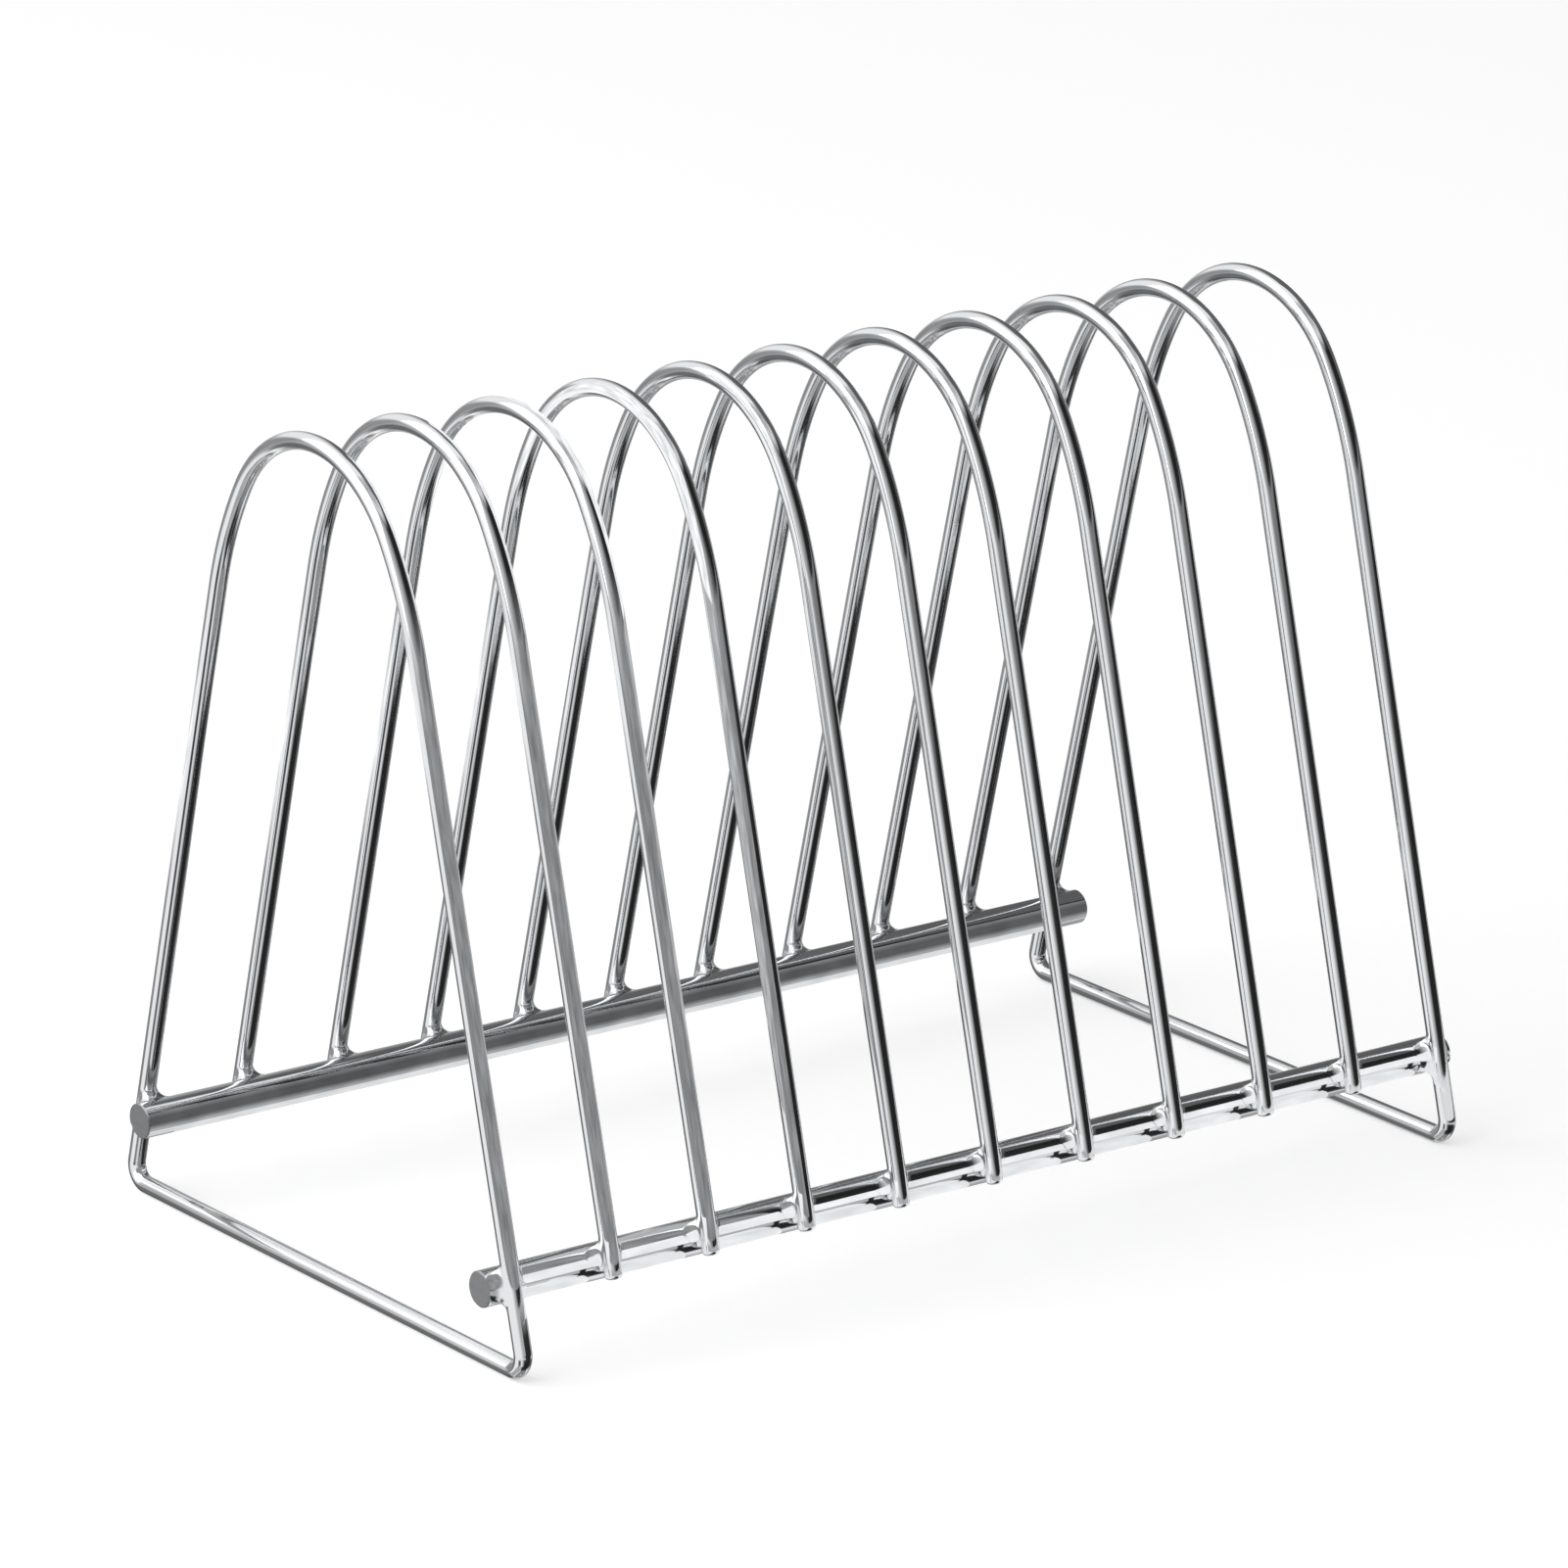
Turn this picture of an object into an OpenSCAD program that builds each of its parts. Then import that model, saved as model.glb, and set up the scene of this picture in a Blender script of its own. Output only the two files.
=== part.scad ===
// Slotted stand of bent and welded round wire. A row of wire arches straddles two
// thicker rods, the rails. The two end arches are closed into frames whose
// straight bottom wires are the feet; the arches between them are open and stop
// just past the rails. Every leg is pressed and welded to the outer side of a rail.
//
// X runs along the rails, Y across them, Z up. The origin is on the table, under
// the middle of the stand. The near end is at -X and the front rail is at -Y.

/* [Slots] */
// Number of slots along the stand, one between each pair of arches
slots = 10; // [3:1:20]
// Distance from one arch to the next
pitch = 19; // [12:0.5:30]

/* [Wire] */
// Diameter of the wire that the arches and end frames are bent from
wire_d = 3; // [2:0.1:4]
// How much thinner the wire is drawn by an easy bend, and twice this by a tight one
bend_thinning = 0.02; // [0.01:0.01:0.06]
// Diameter of the two rails
rail_d = 6; // [5:0.1:8]

/* [Rails] */
// Distance between the axes of the two rails
rail_spacing = 98.4; // [85:0.2:115]
// Height of the rails' axes above the table
rail_h = 14.4; // [12:0.2:20]
// Length of rail beyond the wire axis of each end frame
rail_overhang = 3.6; // [2:0.1:10]
// Chamfer round the sawn ends of the rails
rail_chamfer = 0.2; // [0.1:0.1:1]

/* [Arches] */
// Overall height of the stand, to the top of the arches
arch_h = 141.6; // [120:0.2:160]
// Lean of each leg towards the middle, from the vertical
leg_lean = 14.6; // [11:0.1:17]
// Bend radius of the flanks, on the wire's axis
flank_r = 63; // [40:1:90]
// Angle through which each flank bends before the crown begins
flank_turn = 18; // [6:0.5:24]

/* [Feet and ends] */
// Bend radius of the bottom corners of the end frames, on the wire's axis
foot_bend_r = 3; // [2.6:0.1:6.5]
// How far the open arches' legs reach below the rails' axes
tail_drop = 1.8; // [1:0.1:6]
// Chamfer round the cut ends of the open arches
tip_chamfer = 0.6; // [0.1:0.1:0.8]

/* [Welds] */
// Depth that a leg is pressed into the rail
weld_setdown = 0.4; // [0.1:0.05:0.8]
// Radius of the bead of metal squeezed out round each weld
weld_bead_r = 1.8; // [1.6:0.1:2.2]

/* [Hidden] */
$fn = 48;
wire_r = wire_d / 2;
rail_r = rail_d / 2;
rail_y = rail_spacing / 2;
frame_x = slots * pitch / 2;            // wire axis of the far end frame
rail_l = 2 * (frame_x + rail_overhang);

// The wire is thickest in its straight stretches and thinnest in its tight bends,
// and each bend runs this far into its thicker neighbour
flank_d = wire_d - bend_thinning;
tight_d = wire_d - 2 * bend_thinning;
lap = 0.05;

foot_z = wire_r;                        // axis of the bottom wires
crown_z = arch_h - tight_d / 2;         // wire axis at the top of the crown

// A leg's axis passes the rail's axis at this distance, and crosses the rail's
// height at this distance from the middle
seat = rail_r + wire_r - weld_setdown;
leg_y = rail_y + seat / cos(leg_lean);

// Each half of an arch is a leg, a flank and half of the crown, all tangent. The
// crown's radius is the one that closes the arch at the overall height.
crown_start = leg_lean + flank_turn;    // angle above +Y where flank meets crown
crown_r = (leg_axis_y(crown_z)
           + flank_r * (tan(leg_lean) * (sin(crown_start) - sin(leg_lean))
                        - cos(leg_lean) + cos(crown_start)))
          / (cos(crown_start) - tan(leg_lean) * (1 - sin(crown_start)));
crown_c = [0, crown_z - crown_r];
flank_c = crown_c - (flank_r - crown_r) * heading(crown_start);
leg_top = flank_c + flank_r * heading(leg_lean);
leg_tip = [leg_axis_y(rail_h - tail_drop), rail_h - tail_drop];

// The bottom corner of an end frame is tangent to the bottom wire and to the leg
corner_reach = foot_bend_r * tan((90 + leg_lean) / 2);
corner_c = [leg_axis_y(foot_z) - corner_reach, foot_z + foot_bend_r];
leg_foot = corner_c + foot_bend_r * heading(leg_lean);

bead_c = [rail_y, rail_h] + (rail_r - weld_setdown / 2) * heading(leg_lean);

steel = [0.78, 0.79, 0.81];
bright = [0.86, 0.87, 0.89];

DIVIDERS = [for (i = [1 : slots - 1]) str("divider_", i)];

// Unit vector at an angle in the plane of an arch
function heading(a) = [cos(a), sin(a)];

// Distance of a leg's axis from the middle, at height z
function leg_axis_y(z) = leg_y - (z - rail_h) * tan(leg_lean);

// Everything of an arch is drawn flat, as [across, up], and stood up here at x
module stand_up(x) {
    translate([x, 0, 0]) rotate([90, 0, 90]) children();
}

module both_sides() {
    children();
    mirror([1, 0, 0]) children();
}

// Round rod along +Z from the origin, its far end chamfered
module rod(d, l, chamfer) {
    rotate_extrude()
        polygon([[0, 0], [d / 2, 0], [d / 2, l - chamfer], [d / 2 - chamfer, l], [0, l]]);
}

// Lays what is drawn along +Z from one point of an arch towards another
module lay(from, to) {
    run = to - from;
    translate([from.x, from.y, 0])
        rotate([0, 90, atan2(run.y, run.x)])
            children();
}

// Bend of wire round a centre, between two angles, lapped into what it joins
module wire_bend(centre, r, start, end, d) {
    lap_turn = lap / r * 180 / PI;
    translate([centre.x, centre.y, 0])
        rotate(start - lap_turn)
            rotate_extrude(angle = end - start + 2 * lap_turn)
                translate([r, 0]) circle(d = d);
}

// Crown and flanks, shared by every arch
module bow() {
    wire_bend(crown_c, crown_r, crown_start, 180 - crown_start, tight_d);
    both_sides() wire_bend(flank_c, flank_r, leg_lean, crown_start, flank_d);
}

// Metal squeezed out between a leg and its rail
module weld_bead() {
    translate([bead_c.x, bead_c.y, 0]) sphere(r = weld_bead_r);
}

// The rails where they pass an arch, cut out of its legs to leave their seats
module rail_seats() {
    both_sides()
        translate([rail_y, rail_h, -2 * wire_d]) cylinder(d = rail_d, h = 4 * wire_d);
}

// Open arch between two slots
module divider(x) {
    color(steel) stand_up(x) difference() {
        union() {
            bow();
            both_sides() {
                lay(leg_top, leg_tip) rod(wire_d, norm(leg_tip - leg_top), tip_chamfer);
                weld_bead();
            }
        }
        rail_seats();
    }
}

// Closed frame at an end, with its foot
module end_frame(x) {
    foot_end = [corner_c.x, foot_z];
    foot_start = [-corner_c.x, foot_z];
    color(steel) stand_up(x) difference() {
        union() {
            bow();
            both_sides() {
                lay(leg_top, leg_foot) cylinder(d = wire_d, h = norm(leg_foot - leg_top));
                wire_bend(corner_c, foot_bend_r, -90, leg_lean, tight_d);
                weld_bead();
            }
            lay(foot_start, foot_end) cylinder(d = wire_d, h = norm(foot_end - foot_start));
        }
        rail_seats();
    }
}

module rail(y) {
    color(bright) translate([0, y, rail_h]) {
        rotate([0, 90, 0]) rod(rail_d, rail_l / 2, rail_chamfer);
        rotate([0, -90, 0]) rod(rail_d, rail_l / 2, rail_chamfer);
    }
}

rail(-rail_y);  // front_rail
rail(rail_y);  // rear_rail
end_frame(-frame_x);  // near_end_frame
end_frame(frame_x);  // far_end_frame
for (i = [1 : slots - 1])
    divider(i * pitch - frame_x);
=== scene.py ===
"""Dresses the slotted wire stand: bright chrome on wires and rails, smooth weld fillets, sawn ends."""
from math import ceil, copysign, cos, pi, radians, sin, sqrt, tan

import bpy
from mathutils import Matrix, Vector


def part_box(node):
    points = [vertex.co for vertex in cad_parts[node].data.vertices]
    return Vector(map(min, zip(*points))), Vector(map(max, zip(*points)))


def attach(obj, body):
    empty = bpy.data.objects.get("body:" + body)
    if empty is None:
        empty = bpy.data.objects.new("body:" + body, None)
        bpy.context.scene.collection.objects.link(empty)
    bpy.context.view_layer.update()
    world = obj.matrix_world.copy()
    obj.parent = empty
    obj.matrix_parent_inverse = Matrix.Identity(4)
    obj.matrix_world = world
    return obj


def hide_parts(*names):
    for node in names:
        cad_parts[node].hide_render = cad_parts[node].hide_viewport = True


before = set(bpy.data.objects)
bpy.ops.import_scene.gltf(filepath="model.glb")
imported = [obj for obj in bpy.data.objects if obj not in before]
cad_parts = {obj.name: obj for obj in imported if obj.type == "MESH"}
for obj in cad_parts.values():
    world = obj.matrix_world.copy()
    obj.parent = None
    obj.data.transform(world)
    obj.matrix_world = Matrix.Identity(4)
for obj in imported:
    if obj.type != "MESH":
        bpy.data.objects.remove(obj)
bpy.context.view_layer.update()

MM = 0.001

# Sizes that the frame's boxes don't give, as the wire is bent
WIRE_R = 1.5 * MM
FLANK_R = 63 * MM
FOOT_BEND_R = 3 * MM
LEG_LEAN = radians(14.6)
FLANK_TURN = radians(18)
TAIL_DROP = 1.8 * MM
SEAT_DEPTH = 0.4 * MM
TIP_ROUND = 0.8 * MM
RAIL_CHAMFER = 0.2 * MM

# Weld fillets: their radius, the share of it that is left where they are thinnest, and how
# unevenly they run. Round a cut leg they wrap this far below the seat and thin out over this turn.
WELD_R = 2.5 * MM
WELD_THIN = 0.4
WELD_WOBBLE = 0.06
WELD_WRAP = radians(30)
WELD_FADE = radians(50)
WELD_TIP = 0.25

# Places and sizes taken from the frame
RAIL_LOW, RAIL_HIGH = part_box("rear_rail")
RAIL_MID = (RAIL_LOW + RAIL_HIGH) / 2
RAIL_R = (RAIL_HIGH.z - RAIL_LOW.z) / 2
RAIL_Y = RAIL_MID.y
RAIL_Z = RAIL_MID.z
RAIL_END = RAIL_HIGH.x
ARCH_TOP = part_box("divider_1")[1].z
SEAT = RAIL_R + WIRE_R - SEAT_DEPTH

# Fineness of the meshes
WIRE_SIDES = 40
RAIL_SIDES = 72
LEG_STEP = 2.0 * MM
BEND_STEP = 0.8 * MM
TIP_STEPS = 5
WELD_TURNS = 72
WELD_STEPS = 10
SHARP = radians(40)


# ---------------------------------------------------------------- the arches' outline

def heading(angle):
    return Vector((cos(angle), sin(angle)))


def leg_y(z):
    """Distance of a leg's axis from the middle of the stand at height z."""
    return RAIL_Y + SEAT / cos(LEG_LEAN) - (z - RAIL_Z) * tan(LEG_LEAN)


def smooth(t):
    return t * t * (3 - 2 * t)


def arc(centre, radius, start, end):
    steps = max(24, ceil(abs(end - start) * radius / BEND_STEP))
    return [centre + radius * heading(start + (end - start) * i / steps) for i in range(steps + 1)]


def line(start, end):
    steps = max(2, ceil((end - start).length / LEG_STEP))
    return [start.lerp(end, i / steps) for i in range(steps + 1)]


def joined(*runs):
    points = []
    for run in runs:
        points += run if not points else run[1:]
    return points


def half_arch():
    """Rear half of an arch above its leg, from the top of the leg to the crown's top."""
    crown_z = ARCH_TOP - WIRE_R
    turn = LEG_LEAN + FLANK_TURN
    crown_r = ((leg_y(crown_z) + FLANK_R * (tan(LEG_LEAN) * (sin(turn) - sin(LEG_LEAN))
                                            - cos(LEG_LEAN) + cos(turn)))
               / (cos(turn) - tan(LEG_LEAN) * (1 - sin(turn))))
    crown = Vector((0, crown_z - crown_r))
    flank = crown - (FLANK_R - crown_r) * heading(turn)
    return joined(arc(flank, FLANK_R, LEG_LEAN, turn), arc(crown, crown_r, turn, pi / 2))


def mirrored(points):
    return [Vector((-p.x, p.y)) for p in reversed(points)]


def open_outline():
    """Wire axis of an open arch, from the rear leg's end over the crown to the front leg's."""
    bow = half_arch()
    tip_z = RAIL_Z - TAIL_DROP
    rear = joined(line(Vector((leg_y(tip_z), tip_z)), bow[0]), bow)
    return joined(rear, mirrored(rear))


def closed_outline():
    """Wire axis of an end frame, once round from the middle of its foot."""
    bow = half_arch()
    corner_y = leg_y(WIRE_R) - FOOT_BEND_R * tan((pi / 2 + LEG_LEAN) / 2)
    corner = Vector((corner_y, WIRE_R + FOOT_BEND_R))
    bend = arc(corner, FOOT_BEND_R, -pi / 2, LEG_LEAN)
    rear = joined(line(Vector((0, WIRE_R)), bend[0]), bend, line(bend[-1], bow[0]), bow)
    return joined(rear, mirrored(rear))[:-1]


# ---------------------------------------------------------------- meshes

def new_piece(name, verts, faces, along, material):
    """A smooth mesh object.

    along gives each face corner its place on the wire: two across it, one along it.
    """
    mesh = bpy.data.meshes.new(name)
    mesh.from_pydata(verts, [], faces)
    place = mesh.attributes.new("along", "FLOAT_VECTOR", "CORNER")
    place.data.foreach_set("vector", [c for corner in along for c in corner])
    mesh.materials.append(material)
    mesh.shade_smooth()
    mesh.set_sharp_from_angle(angle=SHARP)
    obj = bpy.data.objects.new(name, mesh)
    bpy.context.scene.collection.objects.link(obj)
    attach(obj, "root")
    return obj


def tube(rings, sides, closed):
    """Vertices, faces and corner places of a tube.

    A ring is (centre, side axis, up axis, radius, distance along the tube).
    """
    verts, faces, along = [], [], []
    spokes = [(cos(2 * pi * k / sides), sin(2 * pi * k / sides)) for k in range(sides)]
    for centre, side, up, radius, _ in rings:
        verts += [centre + radius * (c * side + s * up) for c, s in spokes]
    lengths = [ring[4] for ring in rings]
    count = len(rings)
    last = count if closed else count - 1
    total = lengths[-1] + (rings[0][0] - rings[-1][0]).length
    for i in range(last):
        j = (i + 1) % count
        far = lengths[j] if j else total
        for k in range(sides):
            m = (k + 1) % sides
            faces.append((i * sides + k, i * sides + m, j * sides + m, j * sides + k))
            for n, distance in ((k, lengths[i]), (m, lengths[i]), (m, far), (k, far)):
                along.append((WIRE_R * spokes[n][0], WIRE_R * spokes[n][1], distance))
    if not closed:
        for ring, order in ((0, -1), (count - 1, 1)):
            faces.append(tuple(ring * sides + k for k in range(sides))[::order])
            along += [(WIRE_R * c, WIRE_R * s, lengths[ring]) for c, s in spokes][::order]
    return verts, faces, along


def wire_rings(x, outline, closed):
    rings, distance = [], 0.0
    for i, point in enumerate(outline):
        before = outline[i - 1] if closed or i else point
        after = outline[(i + 1) % len(outline)] if closed or i + 1 < len(outline) else point
        run = (after - before).normalized()
        if i:
            distance += (point - outline[i - 1]).length
        rings.append((Vector((x, point.x, point.y)), Vector((1, 0, 0)), Vector((0, -run.y, run.x)),
                      WIRE_R, distance))
    return rings


def rounded_tips(rings):
    """Rounds the two cut ends of an open arch."""
    tipped = list(rings)
    for end in (0, -1):
        centre, side, up, radius, distance = rings[end]
        inward = (rings[1 if end == 0 else -2][0] - centre).normalized()
        tip = []
        for i in range(TIP_STEPS + 1):
            turn = pi / 2 * i / TIP_STEPS
            tip.append((centre + inward * TIP_ROUND * (1 - sin(turn)), side, up,
                        radius - TIP_ROUND * (1 - cos(turn)), distance))
        tipped = (tip[::-1] + tipped[1:]) if end == 0 else (tipped[:-1] + tip)
    return tipped


def seated(verts):
    """Presses the wire against the rails: what would lie inside a rail goes out to its surface."""
    out = []
    for v in verts:
        for side in (-1, 1):
            reach = Vector((v.y - side * RAIL_Y, v.z - RAIL_Z))
            if reach.length < RAIL_R:
                reach *= RAIL_R / max(reach.length, 1e-9)
                v = Vector((v.x, side * RAIL_Y + reach.x, RAIL_Z + reach.y))
        out.append(v)
    return out


def weld_fillet(x, side, closed):
    """The smooth fillet that a ball leaves when it rolls round a leg in the corner against its rail.

    across runs along the rail, along runs up the leg, out runs from the rail's axis to the leg's. Where
    the leg ends at the rail, the fillet stays open below and thins out towards the leg's tip. Beside
    the rail's sawn end it is cut flush with it.
    """
    rail_axis = Vector((x, side * RAIL_Y, RAIL_Z))
    across = Vector((1, 0, 0))
    out = Vector((0, side * cos(LEG_LEAN), sin(LEG_LEAN)))
    along = Vector((0, -side * sin(LEG_LEAN), cos(LEG_LEAN)))
    start, end = (0, 2 * pi) if closed else (-WELD_WRAP, pi + WELD_WRAP)
    phase = 40 * x / RAIL_END
    verts, normals, faces = [], [], []
    for i in range(WELD_TURNS if closed else WELD_TURNS + 1):
        angle = start + (end - start) * i / WELD_TURNS
        ball = WELD_R * (WELD_THIN + (1 - WELD_THIN) * cos(angle) ** 2)
        ball *= 1 + WELD_WOBBLE * sin(3 * angle + phase)
        if not closed:
            fade = smooth(min(1, (angle - start) / WELD_FADE, (end - angle) / WELD_FADE))
            ball *= WELD_TIP + (1 - WELD_TIP) * fade
        low, high = SEAT - WIRE_R - ball, RAIL_R + ball
        w = low + (high - low) * cos(angle) ** 2
        u = copysign(sqrt(max(0, (WIRE_R + ball) ** 2 - (w - SEAT) ** 2)), cos(angle))
        v = copysign(sqrt(max(0, (RAIL_R + ball) ** 2 - w ** 2)), sin(angle))
        centre = Vector((u, v, w))
        to_wire = (Vector((0, v, SEAT)) - centre).normalized()
        to_rail = (Vector((u, 0, 0)) - centre).normalized()
        for k in range(WELD_STEPS + 1):
            spoke = to_wire.slerp(to_rail, k / WELD_STEPS)
            verts.append(centre + ball * spoke)
            normals.append(-spoke)
        w = SEAT - WIRE_R + (RAIL_R - SEAT + WIRE_R) * cos(angle) ** 2
        verts.append(Vector((copysign(sqrt(max(0, WIRE_R ** 2 - (w - SEAT) ** 2)), cos(angle)),
                             copysign(sqrt(max(0, RAIL_R ** 2 - w ** 2)), sin(angle)), w)))
        normals.append(Vector((0, 0, -1)))
    row = WELD_STEPS + 2
    for i in range(WELD_TURNS):
        j = (i + 1) % WELD_TURNS if closed else i + 1
        for k in range(row):
            m = (k + 1) % row
            corners = (i * row + k, j * row + k, j * row + m, i * row + m)
            faces.append(corners if side > 0 else corners[::-1])
    if not closed:
        for i, order in ((0, 1), (WELD_TURNS, -1)):
            faces.append(tuple(range(i * row, i * row + row))[::order * side])
    place = [rail_axis + across * p.x + along * p.y + out * p.z for p in verts]
    for p in place:
        p.x = max(-RAIL_END, min(RAIL_END, p.x))
    facing = [across * n.x + along * n.y + out * n.z for n in normals]
    return place, facing, faces, row, WELD_TURNS * row


# ---------------------------------------------------------------- materials

def chrome(name, color, roughness, streak, ripple):
    """Bright plating: a faint drawn grain along the wire, slow ripples and cloudy patches of tone."""
    material = bpy.data.materials.new(name)
    material.use_nodes = True
    nodes, links = material.node_tree.nodes, material.node_tree.links
    shader = nodes["Principled BSDF"]
    shader.inputs["Metallic"].default_value = 1.0

    place = nodes.new("ShaderNodeAttribute")
    place.attribute_name = "along"
    stretch = nodes.new("ShaderNodeMapping")
    stretch.inputs["Scale"].default_value = (1 / (0.5 * MM), 1 / (0.5 * MM), 1 / (22 * MM))
    links.new(place.outputs["Vector"], stretch.inputs["Vector"])
    grain = nodes.new("ShaderNodeTexNoise")
    grain.inputs["Scale"].default_value = 1.0
    grain.inputs["Detail"].default_value = 3.0
    links.new(stretch.outputs["Vector"], grain.inputs["Vector"])

    spot = nodes.new("ShaderNodeTexCoord")
    cloud = nodes.new("ShaderNodeTexNoise")
    cloud.inputs["Scale"].default_value = 1 / (9 * MM)
    cloud.inputs["Detail"].default_value = 2.0
    links.new(spot.outputs["Object"], cloud.inputs["Vector"])

    tone = nodes.new("ShaderNodeMix")
    tone.data_type = "RGBA"
    links.new(cloud.outputs["Fac"], tone.inputs["Factor"])
    tone.inputs["A"].default_value = (*[c * 0.95 for c in color], 1)
    tone.inputs["B"].default_value = (*[min(1, c * 1.04) for c in color], 1)
    links.new(tone.outputs["Result"], shader.inputs["Base Color"])

    dull = nodes.new("ShaderNodeMapRange")
    dull.inputs["From Min"].default_value = 0.35
    dull.inputs["From Max"].default_value = 0.7
    dull.inputs["To Min"].default_value = roughness * 0.7
    dull.inputs["To Max"].default_value = roughness * 1.5
    links.new(grain.outputs["Fac"], dull.inputs["Value"])
    links.new(dull.outputs["Result"], shader.inputs["Roughness"])

    lines = nodes.new("ShaderNodeBump")
    lines.inputs["Strength"].default_value = streak
    lines.inputs["Distance"].default_value = 0.02 * MM
    links.new(grain.outputs["Fac"], lines.inputs["Height"])
    waves = nodes.new("ShaderNodeBump")
    waves.inputs["Strength"].default_value = ripple
    waves.inputs["Distance"].default_value = 0.1 * MM
    links.new(cloud.outputs["Fac"], waves.inputs["Height"])
    links.new(lines.outputs["Normal"], waves.inputs["Normal"])
    links.new(waves.outputs["Normal"], shader.inputs["Normal"])
    return material


CHROME_TINT = (0.78, 0.79, 0.81)
wire_chrome = chrome("wire_chrome", CHROME_TINT, 0.09, 0.2, 0.12)
rail_chrome = chrome("rail_chrome", CHROME_TINT, 0.09, 0.1, 0.05)
weld_chrome = chrome("weld_chrome", CHROME_TINT, 0.15, 0.0, 0.05)


# ---------------------------------------------------------------- pieces

def dress_wire(node):
    low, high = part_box(node)
    x = (low.x + high.x) / 2
    closed = node.endswith("end_frame")
    rings = wire_rings(x, closed_outline() if closed else open_outline(), closed)
    if not closed:
        rings = rounded_tips(rings)
    verts, faces, along = tube(rings, WIRE_SIDES, closed)
    piece = new_piece(node + "_wire", seated(verts), faces, along, wire_chrome)
    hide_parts(node)
    for side, where in ((-1, "front"), (1, "rear")):
        dress_weld(x, side, closed, node + "_" + where + "_weld")


def dress_weld(x, side, closed, name):
    place, facing, faces, row, skin_faces = weld_fillet(x, side, closed)
    along = [(place[v].y, place[v].z, place[v].x) for face in faces for v in face]
    piece = new_piece(name, place, faces, along, weld_chrome)
    mesh = piece.data
    flat = [tuple(p.normal) for p in mesh.polygons]
    loops = []
    for i, face in enumerate(faces):
        skin = i < skin_faces and i % row < row - 2
        loops += [tuple(facing[v]) if skin else flat[i] for v in face]
    mesh.normals_split_custom_set(loops)


def sawn(name, color):
    """The rails' cut ends: dull, with fine saw marks."""
    material = bpy.data.materials.new(name)
    material.use_nodes = True
    nodes, links = material.node_tree.nodes, material.node_tree.links
    shader = nodes["Principled BSDF"]
    shader.inputs["Metallic"].default_value = 1.0
    spot = nodes.new("ShaderNodeTexCoord")
    stretch = nodes.new("ShaderNodeMapping")
    stretch.inputs["Rotation"].default_value = (radians(28), 0, 0)
    stretch.inputs["Scale"].default_value = (1 / MM, 1 / (2.5 * MM), 1 / (0.12 * MM))
    links.new(spot.outputs["Object"], stretch.inputs["Vector"])
    marks = nodes.new("ShaderNodeTexNoise")
    marks.inputs["Scale"].default_value = 1.0
    marks.inputs["Detail"].default_value = 3.0
    links.new(stretch.outputs["Vector"], marks.inputs["Vector"])
    tone = nodes.new("ShaderNodeMix")
    tone.data_type = "RGBA"
    links.new(marks.outputs["Fac"], tone.inputs["Factor"])
    tone.inputs["A"].default_value = (*[c * 0.8 for c in color], 1)
    tone.inputs["B"].default_value = (*[c * 1.2 for c in color], 1)
    links.new(tone.outputs["Result"], shader.inputs["Base Color"])
    dull = nodes.new("ShaderNodeMapRange")
    dull.inputs["To Min"].default_value = 0.38
    dull.inputs["To Max"].default_value = 0.58
    links.new(marks.outputs["Fac"], dull.inputs["Value"])
    links.new(dull.outputs["Result"], shader.inputs["Roughness"])
    bump = nodes.new("ShaderNodeBump")
    bump.inputs["Strength"].default_value = 0.5
    bump.inputs["Distance"].default_value = 0.03 * MM
    links.new(marks.outputs["Fac"], bump.inputs["Height"])
    links.new(bump.outputs["Normal"], shader.inputs["Normal"])
    return material


sawn_end = sawn("sawn_end", (0.33, 0.335, 0.345))


def dress_rail(node, y):
    centre = Vector((0, y, RAIL_Z))
    stations = [(-RAIL_END, RAIL_R - RAIL_CHAMFER), (-RAIL_END + RAIL_CHAMFER, RAIL_R),
                (RAIL_END - RAIL_CHAMFER, RAIL_R), (RAIL_END, RAIL_R - RAIL_CHAMFER)]
    rings = [(centre + Vector((x, 0, 0)), Vector((0, 1, 0)), Vector((0, 0, 1)), r, x)
             for x, r in stations]
    verts, faces, along = tube(rings, RAIL_SIDES, False)
    piece = new_piece(node + "_rod", verts, faces, along, rail_chrome)
    piece.data.materials.append(sawn_end)
    faces = piece.data.polygons
    for face in [*faces[:RAIL_SIDES], *faces[2 * RAIL_SIDES:]]:
        face.material_index = 1
    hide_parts(node)


dress_rail("front_rail", -RAIL_Y)
dress_rail("rear_rail", RAIL_Y)
WIRES = [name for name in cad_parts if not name.endswith("_rail")]
for node in sorted(WIRES):
    dress_wire(node)


# ---------------------------------------------------------------- camera, floor and light

# The camera stands here, seen from the point it aims at; lens and sensor are in millimetres
AZIMUTH, ELEVATION, ROLL = radians(-36.62), radians(17.11), radians(0.22)
DISTANCE = 1.4733
AIM = Vector((-2.1, 1.2, 67.2)) * MM
LENS = 204.7
SENSOR = 36

# Radiance of the white surroundings, as they light the stand and as they are seen
FILL_LIGHT = 0.5
SEEN_WHITE = 1.0
FLOOR_LIFT = 0.45

# The greys of flags and cards vary by this share either way, in patches of these sizes in metres
UNEVEN = 0.3
NEARLY_EVEN = 0.1
FLAG_PATCH = 0.12
CARD_PATCH = 0.006

# Degrees from one point of a flag's mesh to the next
FLAG_STEP = 3


def compass(azimuth, elevation):
    """Direction from the stand: azimuth 0 is in front, 90 degrees at the far end."""
    return Vector((sin(azimuth) * cos(elevation), -cos(azimuth) * cos(elevation), sin(elevation)))


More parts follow.
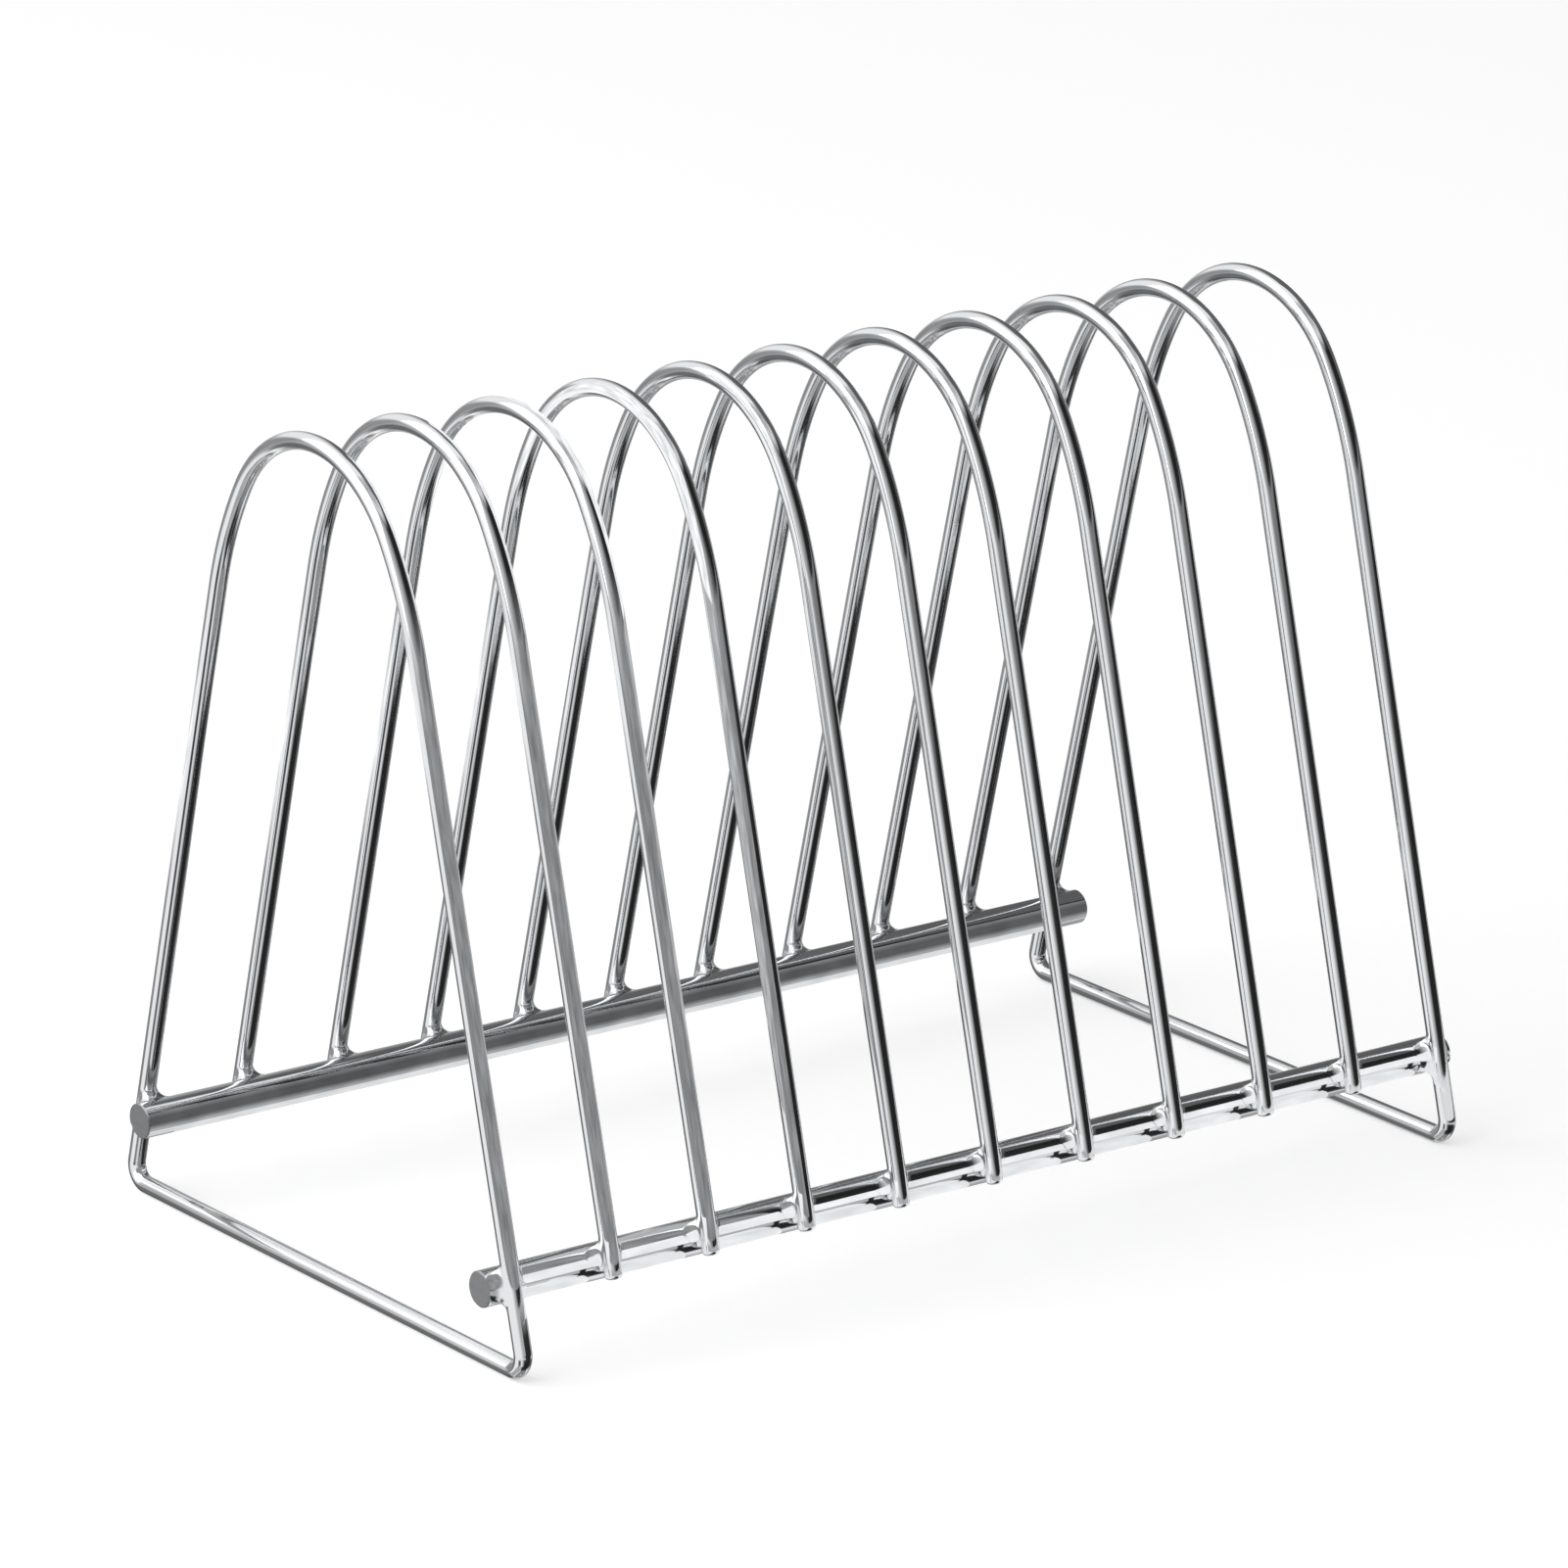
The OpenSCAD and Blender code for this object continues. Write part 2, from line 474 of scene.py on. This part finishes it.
def add_camera():
    data = bpy.data.cameras.new("camera")
    data.lens = LENS
    data.sensor_width = SENSOR
    data.clip_end = 50
    camera = bpy.data.objects.new("camera", data)
    back = compass(AZIMUTH, ELEVATION)
    right = Vector((cos(AZIMUTH), sin(AZIMUTH), 0))
    up = back.cross(right)
    turned = right * cos(ROLL) + up * sin(ROLL)
    axes = Matrix((turned, back.cross(turned), back)).transposed()
    camera.matrix_world = Matrix.Translation(AIM + back * DISTANCE) @ axes.to_4x4()
    bpy.context.scene.collection.objects.link(camera)
    bpy.context.scene.camera = camera


def seen_directly(nodes, links):
    """1 for camera, glossy and transmission rays, and 0 for the rays that light the stand."""
    path = nodes.new("ShaderNodeLightPath")
    first = nodes.new("ShaderNodeMath")
    first.operation = "MAXIMUM"
    second = nodes.new("ShaderNodeMath")
    second.operation = "MAXIMUM"
    links.new(path.outputs["Is Camera Ray"], first.inputs[0])
    links.new(path.outputs["Is Glossy Ray"], first.inputs[1])
    links.new(first.outputs[0], second.inputs[0])
    links.new(path.outputs["Is Transmission Ray"], second.inputs[1])
    return second.outputs[0]


def add_world():
    world = bpy.data.worlds.new("studio")
    bpy.context.scene.world = world
    world.use_nodes = True
    nodes, links = world.node_tree.nodes, world.node_tree.links
    light = nodes["Background"]
    light.inputs["Color"].default_value = (1, 1, 1, 1)
    light.inputs["Strength"].default_value = FILL_LIGHT
    seen = nodes.new("ShaderNodeBackground")
    seen.inputs["Color"].default_value = (1, 1, 1, 1)
    seen.inputs["Strength"].default_value = SEEN_WHITE
    mix = nodes.new("ShaderNodeMixShader")
    links.new(seen_directly(nodes, links), mix.inputs[0])
    links.new(light.outputs[0], mix.inputs[1])
    links.new(seen.outputs[0], mix.inputs[2])
    links.new(mix.outputs[0], nodes["World Output"].inputs["Surface"])


def plane(name, width, height):
    mesh = bpy.data.meshes.new(name)
    w, h = width / 2, height / 2
    mesh.from_pydata([(-w, -h, 0), (w, -h, 0), (w, h, 0), (-w, h, 0)], [], [(0, 1, 2, 3)])
    obj = bpy.data.objects.new(name, mesh)
    bpy.context.scene.collection.objects.link(obj)
    return obj


def add_floor():
    floor = plane("floor", 8, 8)
    material = bpy.data.materials.new("pale_floor")
    material.use_nodes = True
    nodes, links = material.node_tree.nodes, material.node_tree.links
    shader = nodes["Principled BSDF"]
    shader.inputs["Base Color"].default_value = (0.8, 0.8, 0.8, 1)
    shader.inputs["Roughness"].default_value = 0.9
    shader.inputs["Specular IOR Level"].default_value = 0.0
    shader.inputs["Emission Color"].default_value = (1, 1, 1, 1)
    lift = nodes.new("ShaderNodeMath")
    lift.operation = "MULTIPLY"
    lift.inputs[1].default_value = FLOOR_LIFT
    links.new(seen_directly(nodes, links), lift.inputs[0])
    links.new(lift.outputs[0], shader.inputs["Emission Strength"])
    floor.data.materials.append(material)
    floor.visible_glossy = False


def add_softbox(name, azimuth, elevation, distance, width, height, radiance):
    data = bpy.data.lights.new(name, "AREA")
    data.shape = "RECTANGLE"
    data.size, data.size_y = width, height
    data.energy = pi * width * height * radiance
    lamp = bpy.data.objects.new(name, data)
    bpy.context.scene.collection.objects.link(lamp)
    direction = compass(radians(azimuth), radians(elevation))
    lamp.location = AIM + direction * distance
    lamp.rotation_euler = direction.to_track_quat("Z", "Y").to_euler()


def card_material(name, shade, patch, uneven):
    """A glowing card of uneven grey. It fades out where "cover" falls to nothing."""
    material = bpy.data.materials.new(name)
    material.use_nodes = True
    nodes, links = material.node_tree.nodes, material.node_tree.links
    nodes.remove(nodes["Principled BSDF"])
    glow = nodes.new("ShaderNodeEmission")
    glow.inputs["Color"].default_value = (shade, shade, shade, 1)
    spot = nodes.new("ShaderNodeTexCoord")
    patches = nodes.new("ShaderNodeTexNoise")
    patches.inputs["Scale"].default_value = 1 / patch
    patches.inputs["Detail"].default_value = 2.0
    links.new(spot.outputs["Object"], patches.inputs["Vector"])
    vary = nodes.new("ShaderNodeMapRange")
    vary.inputs["From Min"].default_value = 0.3
    vary.inputs["From Max"].default_value = 0.7
    vary.inputs["To Min"].default_value = 1 - uneven
    vary.inputs["To Max"].default_value = 1 + uneven
    links.new(patches.outputs["Fac"], vary.inputs["Value"])
    links.new(vary.outputs["Result"], glow.inputs["Strength"])
    clear = nodes.new("ShaderNodeBsdfTransparent")
    cover = nodes.new("ShaderNodeAttribute")
    cover.attribute_name = "cover"
    mix = nodes.new("ShaderNodeMixShader")
    links.new(cover.outputs["Fac"], mix.inputs[0])
    links.new(clear.outputs[0], mix.inputs[1])
    links.new(glow.outputs[0], mix.inputs[2])
    links.new(mix.outputs[0], nodes["Material Output"].inputs["Surface"])
    return material


def only_in_reflections(obj):
    """Leaves a card to the metal alone: no camera, no shadow and no light on the floor."""
    obj.visible_camera = False
    obj.visible_diffuse = False
    obj.visible_shadow = False
    obj.visible_transmission = False


def add_reflected(name, verts, faces, cover, shade, patch, uneven):
    mesh = bpy.data.meshes.new(name)
    mesh.from_pydata(verts, [], faces)
    mesh.attributes.new("cover", "FLOAT", "POINT").data.foreach_set("value", cover)
    mesh.materials.append(card_material(name + "_grey", shade, patch, uneven))
    card = bpy.data.objects.new(name, mesh)
    bpy.context.scene.collection.objects.link(card)
    only_in_reflections(card)


def add_flag(name, azimuths, elevations, radius, shade, feathers):
    """A curved card far round the stand.

    Its feathers are the angles over which its west, east, low and high sides fade.
    """
    rows = round((elevations[1] - elevations[0]) / FLAG_STEP)
    columns = round((azimuths[1] - azimuths[0]) / FLAG_STEP)
    west, east, low, high = feathers
    verts, cover = [], []
    for j in range(rows + 1):
        e = elevations[0] + (elevations[1] - elevations[0]) * j / rows
        for i in range(columns + 1):
            a = azimuths[0] + (azimuths[1] - azimuths[0]) * i / columns
            verts.append(AIM + radius * compass(radians(a), radians(e)))
            inside = min((a - azimuths[0]) / west, (azimuths[1] - a) / east,
                         (e - elevations[0]) / low, (elevations[1] - e) / high)
            cover.append(min(1, inside))
    faces = [(j * (columns + 1) + i, j * (columns + 1) + i + 1,
              (j + 1) * (columns + 1) + i + 1, (j + 1) * (columns + 1) + i)
             for j in range(rows) for i in range(columns)]
    add_reflected(name, verts, faces, cover, shade, FLAG_PATCH, UNEVEN)


def add_card(name, xs, low, high, shade, soft=(0, 0), uneven=UNEVEN):
    """A flat card along the stand between two edges, each (y, z).

    soft is the share of its width that fades at its low and at its high edge.
    """
    stops = [(0, 0 if soft[0] else 1)]
    if soft[0]:
        stops.append((soft[0], 1))
    if soft[1]:
        stops.append((1 - soft[1], 1))
    stops.append((1, 0 if soft[1] else 1))
    verts, cover = [], []
    for share, solid in stops:
        y = low[0] + (high[0] - low[0]) * share
        z = low[1] + (high[1] - low[1]) * share
        verts += [(xs[0], y, z), (xs[1], y, z)]
        cover += [solid, solid]
    faces = [(2 * i, 2 * i + 1, 2 * i + 3, 2 * i + 2) for i in range(len(stops) - 1)]
    add_reflected(name, verts, faces, cover, shade, CARD_PATCH, uneven)


def add_side_card(name, x, ys, zs, shade):
    """An upright card across the stand."""
    verts = [(x, ys[0], zs[0]), (x, ys[1], zs[0]), (x, ys[1], zs[1]), (x, ys[0], zs[1])]
    add_reflected(name, verts, [(0, 1, 2, 3)], [1] * 4, shade, CARD_PATCH, UNEVEN)


def add_far_flags():
    """What the metal sees far off. Azimuths, elevations and feathers are in degrees, radii in metres."""
    add_flag("front_flag", (-90, 74), (9, 64), 1.30, 0.02, (90, 14, 6, 12))
    add_flag("front_level_flag", (-54, 86), (-22, 15), 1.29, 0.02, (54, 8, 6, 6))
    add_flag("front_low_flag", (-54, 78), (-58, -20), 1.31, 0.02, (36, 14, 6, 6))
    add_flag("front_floor_flag", (-72, 64), (-70, -45), 1.32, 0.03, (25, 25, 6, 4))
    add_flag("low_line_flag", (-93, -56), (-40, -22), 1.24, 0.04, (10, 10, 4, 4))
    add_flag("left_low_flag", (-142, -50), (-64, -34), 1.28, 0.45, (8, 20, 6, 5))
    add_flag("floor_flag", (-180, 180), (-88, -62), 1.34, 0.27, (1, 1, 1, 6))
    add_flag("rear_low_flag", (162, 224), (-66, -16), 1.26, 0.11, (14, 10, 8, 6))
    add_flag("rear_line_flag", (162, 230), (-28, 18), 1.27, 0.32, (14, 14, 8, 8))
    add_flag("right_low_flag", (78, 170), (-62, -1), 1.29, 0.42, (10, 12, 8, 5))
    add_flag("upper_rear_flag", (58, 172), (-2, 74), 1.33, 0.13, (10, 30, 5, 8))
    add_flag("zenith_flag", (-110, 105), (60, 88), 1.35, 0.50, (20, 20, 10, 3))
    add_flag("crown_flag", (190, 226), (-50, -20), 1.25, 0.18, (10, 8, 8, 6))
    add_flag("right_line_flag", (56, 108), (-50, -23), 1.25, 0.10, (8, 8, 8, 6))


def leg_edges(side, gap, low, high):
    """Edges of a card that stands off the front (-1) or rear (1) legs by a gap, between two heights."""
    return [(side * (leg_y(z) + gap), z) for z in (low, high)]


def add_near_leg_cards():
    """Cards seen only in the metal close to the near arches, which paint reflections on their legs and
    crowns and painted shade on the first leg's foot.
    """
    past_end = -0.25
    low, high = leg_edges(-1, 0.008, 0.016, 0.126)
    add_card("near_leg_card", (past_end, -0.0365), low, high, 0.31, (0, 0.25))
    # A dark card beside the first leg's foot: painted shade in its reflection.
    low, high = leg_edges(-1, 0.004, 0.001, 0.013)
    add_card("near_foot_painted_shade", (-0.0955, -0.083), low, high, 0.03, (0, 0.4))
    # A bright card behind the rear legs: painted reflection of white on them.
    low, high = leg_edges(1, 0.015, 0.050, 0.098)
    add_card("rear_leg_card", (past_end, -0.030), low, high, 1.1, (0.4, 0.4))
    after_third = -0.047
    add_side_card("near_side_card", after_third, (-0.050, -0.018), (0.030, 0.112), 0.55)
    add_side_card("near_crown_card", after_third, (-0.034, 0.030), (0.112, 0.170), 1.1)


def add_front_rail_cards():
    """Cards seen only in the front rail, which paint its reflections: a grey band below it, and per slot
    a bright strip, a bright sheet under it and a dark spot of painted shade beside the weld.
    """
    low, high = (-0.080, 0.002), (-0.080, 0.0152)
    # Grey cards low in front of the rail: painted reflection of a grey band on its lower side.
    add_card("near_rail_painted_reflection", (-0.11, 0.02), low, high, 0.50, uneven=NEARLY_EVEN)
    add_card("far_rail_painted_reflection", (0.02, 0.20), low, high, 0.85, uneven=NEARLY_EVEN)
    leg_xs = sorted((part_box(node)[0].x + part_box(node)[1].x) / 2 for node in WIRES)
    strip_y = -0.0545
    painted_shade_y = -0.0546
    painted_glow_z = 0.0105
    for i, (leg, next_leg) in enumerate(zip(leg_xs, leg_xs[1:])):
        slot = "_%d" % (i + 1)
        top = 0.0190 if i < 3 else 0.0172
        # A bright strip in front of the rail in each slot: painted reflection of its white middle band.
        low, high = (strip_y, 0.0145), (strip_y, top)
        xs = (leg + 4.5 * MM, next_leg - WIRE_R)
        add_card("front_rail_strip" + slot, xs, low, high, 1.1, uneven=NEARLY_EVEN)
        # A bright sheet under the rail in each slot: painted reflection of light from below on the
        # rail's underside.
        low, high = (-0.063, painted_glow_z), (-0.0485, painted_glow_z)
        xs = (leg + 2 * MM, next_leg - 2 * MM)
        add_card("front_rail_floor" + slot, xs, low, high, 1.0, uneven=NEARLY_EVEN)
        # A dark card right beside the next weld: painted shade in the rail's reflection there.
        low, high = (painted_shade_y, 0.0112), (painted_shade_y, 0.0144)
        xs = (next_leg - 3.8 * MM, next_leg - 2.6 * MM)
        add_card("front_weld_spot" + slot, xs, low, high, 0.02)


def add_rear_rail_cards():
    """Cards seen only in the rear rail, which paint its reflections: a pale sheet under it and three
    grey strips in front of it.
    """
    # A pale sheet under the rail: painted reflection of light from below on its underside.
    add_card("rear_rail_painted_glow", (-0.092, 0.092), (0.0435, 0.0105), (0.0495, 0.0105), 0.9,
             uneven=NEARLY_EVEN)
    strip_xs = (-0.12, 0.12)
    strip_y = 0.0455
    middle_y = 0.0457
    uneven = 0.15
    low, high = (strip_y, 0.0110), (strip_y, 0.0150)
    add_card("rear_rail_strip_low", strip_xs, low, high, 0.45, uneven=uneven)
    low, high = (strip_y, 0.0150), (strip_y, 0.0178)
    add_card("rear_rail_strip_high", strip_xs, low, high, 0.24, uneven=uneven)
    low, high = (middle_y, 0.0128), (middle_y, 0.0170)
    add_card("rear_rail_strip_middle", strip_xs, low, high, 0.12, (0.35, 0.3), uneven)


add_camera()
add_world()
add_floor()
add_softbox("key_softbox", -110, 35, 1.5, 2.2, 1.8, 1.25)
add_far_flags()
add_near_leg_cards()
add_front_rail_cards()
add_rear_rail_cards()

bpy.context.scene.view_settings.view_transform = "Standard"
